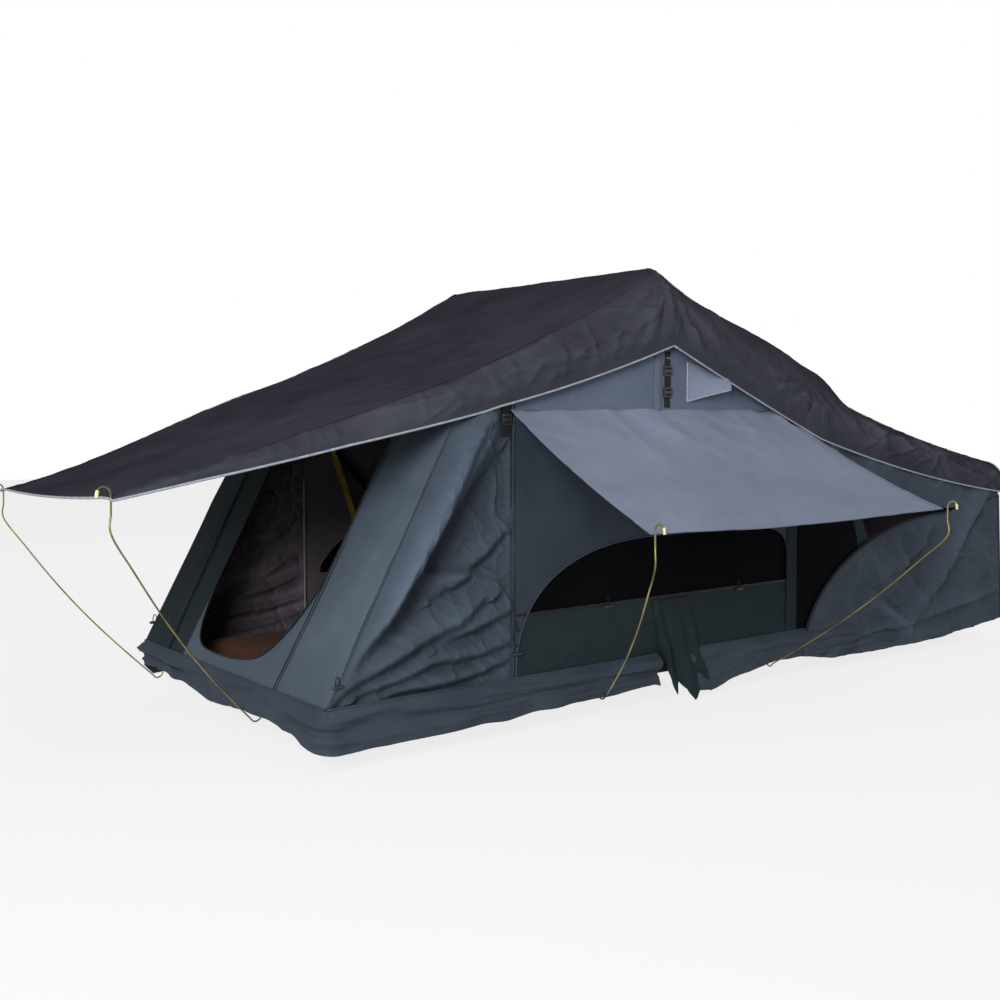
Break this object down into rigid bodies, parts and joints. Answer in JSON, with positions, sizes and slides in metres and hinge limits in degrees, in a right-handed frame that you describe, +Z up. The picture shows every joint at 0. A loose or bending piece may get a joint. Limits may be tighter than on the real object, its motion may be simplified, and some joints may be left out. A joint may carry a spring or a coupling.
{
  "type": "roof top tent",
  "caption": "Fold-out soft-shell roof top tent, open, with a fly, side awnings, an entrance awning on rods and an enclosed vestibule; its base folds over on a raised hinge.",
  "frame": {"origin": "centre of the four bolt holes in the mounting rails, on the rails' underside", "axes": "+X along the tent from the entrance to the vestibule, +Y across it to the far side of the picture, +Z up"},
  "size_m": [3.705, 2.3876, 1.3459],
  "materials": {
    "panel": "film-faced panel, matt black",
    "frame_bar": "mill finish",
    "black_plastic": "moulded, fine grain",
    "steel": "zinc plated",
    "mattress_cover": "woven cover",
    "body_cloth": "ripstop canvas",
    "awning_cloth": "ripstop canvas",
    "mesh": "insect mesh",
    "fly_cloth": "coated polyester",
    "piping": "reflective piping",
    "zip_tape": "coil zip on tape",
    "webbing": "woven webbing",
    "mustard_webbing": "woven webbing",
    "bow_tube": "satin black",
    "rod_steel": "yellow passivated spring steel"
  },
  "bodies": {
    "base": {"floor_panel_base": "panel", "frame_base": "frame_bar", "corners_base": "black_plastic", "rails": "frame_bar", "leaf_base": "steel", "leaf_bolts_base": "steel", "hinge_pins": "steel", "pin_nuts": "steel", "mattress_base": "mattress_cover", "skirt_base": "body_cloth", "wall_base_near": "body_cloth", "wall_base_far": "body_cloth", "mesh_base": "mesh", "door_wall": "body_cloth", "zips": "zip_tape", "fly_base": "fly_cloth", "piping_base": "piping", "bellows": "body_cloth", "sockets_base": "black_plastic", "toggles_base": "black_plastic"},
    "fold": {"floor_panel_fold": "panel", "frame_fold": "frame_bar", "corners_fold": "black_plastic", "leaf_fold": "steel", "leaf_bolts_fold": "steel", "mattress_fold": "mattress_cover", "skirt_fold_half": "body_cloth", "wall_fold_near": "body_cloth", "wall_fold_far": "body_cloth", "mesh_fold": "mesh", "inner_wall": "body_cloth", "fly_fold": "fly_cloth", "piping_fold": "piping", "sockets_fold": "black_plastic", "toggles_fold": "black_plastic", "vents": "body_cloth"},
    "front_bow": {"bow_front": "bow_tube", "sleeves_front": "steel", "straps_front": "webbing", "buckles_front": "black_plastic", "corner_strap": "mustard_webbing"},
    "ridge_bow": {"bow_ridge": "bow_tube", "straps_ridge": "webbing", "buckles_ridge": "black_plastic"},
    "rear_bow": {"bow_rear": "bow_tube"},
    "entrance_awning": {"fly_entrance": "fly_cloth", "piping_entrance": "piping", "rods_entrance": "rod_steel"},
    "vestibule": {"fly_vestibule": "fly_cloth", "piping_vestibule": "piping", "vestibule_walls": "body_cloth", "rods_vestibule": "rod_steel"},
    "near_awning_base": {"awning_near_base": "awning_cloth", "rod_near_base": "rod_steel"},
    "near_awning_fold": {"awning_near_fold": "awning_cloth", "rod_near_fold": "rod_steel"},
    "far_awning_base": {"awning_far_base": "awning_cloth", "rod_far_base": "rod_steel"},
    "far_awning_fold": {"awning_far_fold": "awning_cloth", "rod_far_fold": "rod_steel"}
  },
  "joints": [
    {"name": "fold", "type": "hinge", "parent": "base", "child": "fold", "pos_m": [0.595, 0, 0.175], "axis": [0, -1, 0], "range_deg": [0, 180], "deforming": ["wall_base_near", "wall_base_far", "mesh_base", "door_wall", "zips", "fly_base", "piping_base", "bellows", "toggles_base", "wall_fold_near", "wall_fold_far", "mesh_fold", "inner_wall", "fly_fold", "piping_fold", "toggles_fold", "vents"]},
    {"name": "front_bow_swing", "type": "hinge", "parent": "base", "child": "front_bow", "pos_m": [0.595, 0, 0.175], "axis": [0, -1, 0], "range_deg": [0, 48.4]},
    {"name": "ridge_bow_swing", "type": "hinge", "parent": "base", "child": "ridge_bow", "pos_m": [0.595, 0, 0.175], "axis": [0, -1, 0], "range_deg": [0, 90]},
    {"name": "rear_bow_swing", "type": "hinge", "parent": "base", "child": "rear_bow", "pos_m": [0.595, 0, 0.175], "axis": [0, -1, 0], "range_deg": [0, 131.6]},
    {"name": "entrance_awning_tuck", "type": "hinge", "parent": "base", "child": "entrance_awning", "pos_m": [-0.595, 0, 0.175], "axis": [0, 1, 0], "range_deg": [0, 180], "deforming": ["fly_entrance", "piping_entrance", "rods_entrance"]},
    {"name": "vestibule_tuck", "type": "hinge", "parent": "fold", "child": "vestibule", "pos_m": [1.785, 0, 0.175], "axis": [0, -1, 0], "range_deg": [0, 180], "deforming": ["fly_vestibule", "piping_vestibule", "vestibule_walls", "rods_vestibule"]},
    {"name": "near_awning_base_tuck", "type": "hinge", "parent": "base", "child": "near_awning_base", "pos_m": [0.595, -0.5903, 0.175], "axis": [-1, 0, 0], "range_deg": [0, 180], "deforming": ["awning_near_base", "rod_near_base"]},
    {"name": "near_awning_fold_tuck", "type": "hinge", "parent": "fold", "child": "near_awning_fold", "pos_m": [0.595, -0.5903, 0.175], "axis": [-1, 0, 0], "range_deg": [0, 180], "deforming": ["awning_near_fold", "rod_near_fold"]},
    {"name": "far_awning_base_tuck", "type": "hinge", "parent": "base", "child": "far_awning_base", "pos_m": [0.595, 0.5903, 0.175], "axis": [1, 0, 0], "range_deg": [0, 180], "deforming": ["awning_far_base", "rod_far_base"]},
    {"name": "far_awning_fold_tuck", "type": "hinge", "parent": "fold", "child": "far_awning_fold", "pos_m": [0.595, 0.5903, 0.175], "axis": [1, 0, 0], "range_deg": [0, 180], "deforming": ["awning_far_fold", "rod_far_fold"]}
  ],
  "couplings": [
    {"joint": "front_bow_swing", "follows": "fold", "ratio": 0.26889},
    {"joint": "ridge_bow_swing", "follows": "fold", "ratio": 0.5},
    {"joint": "rear_bow_swing", "follows": "fold", "ratio": 0.73111},
    {"joint": "entrance_awning_tuck", "follows": "fold", "ratio": 1},
    {"joint": "vestibule_tuck", "follows": "fold", "ratio": 1},
    {"joint": "near_awning_base_tuck", "follows": "fold", "ratio": 1},
    {"joint": "near_awning_fold_tuck", "follows": "fold", "ratio": 1},
    {"joint": "far_awning_base_tuck", "follows": "fold", "ratio": 1},
    {"joint": "far_awning_fold_tuck", "follows": "fold", "ratio": 1}
  ]
}
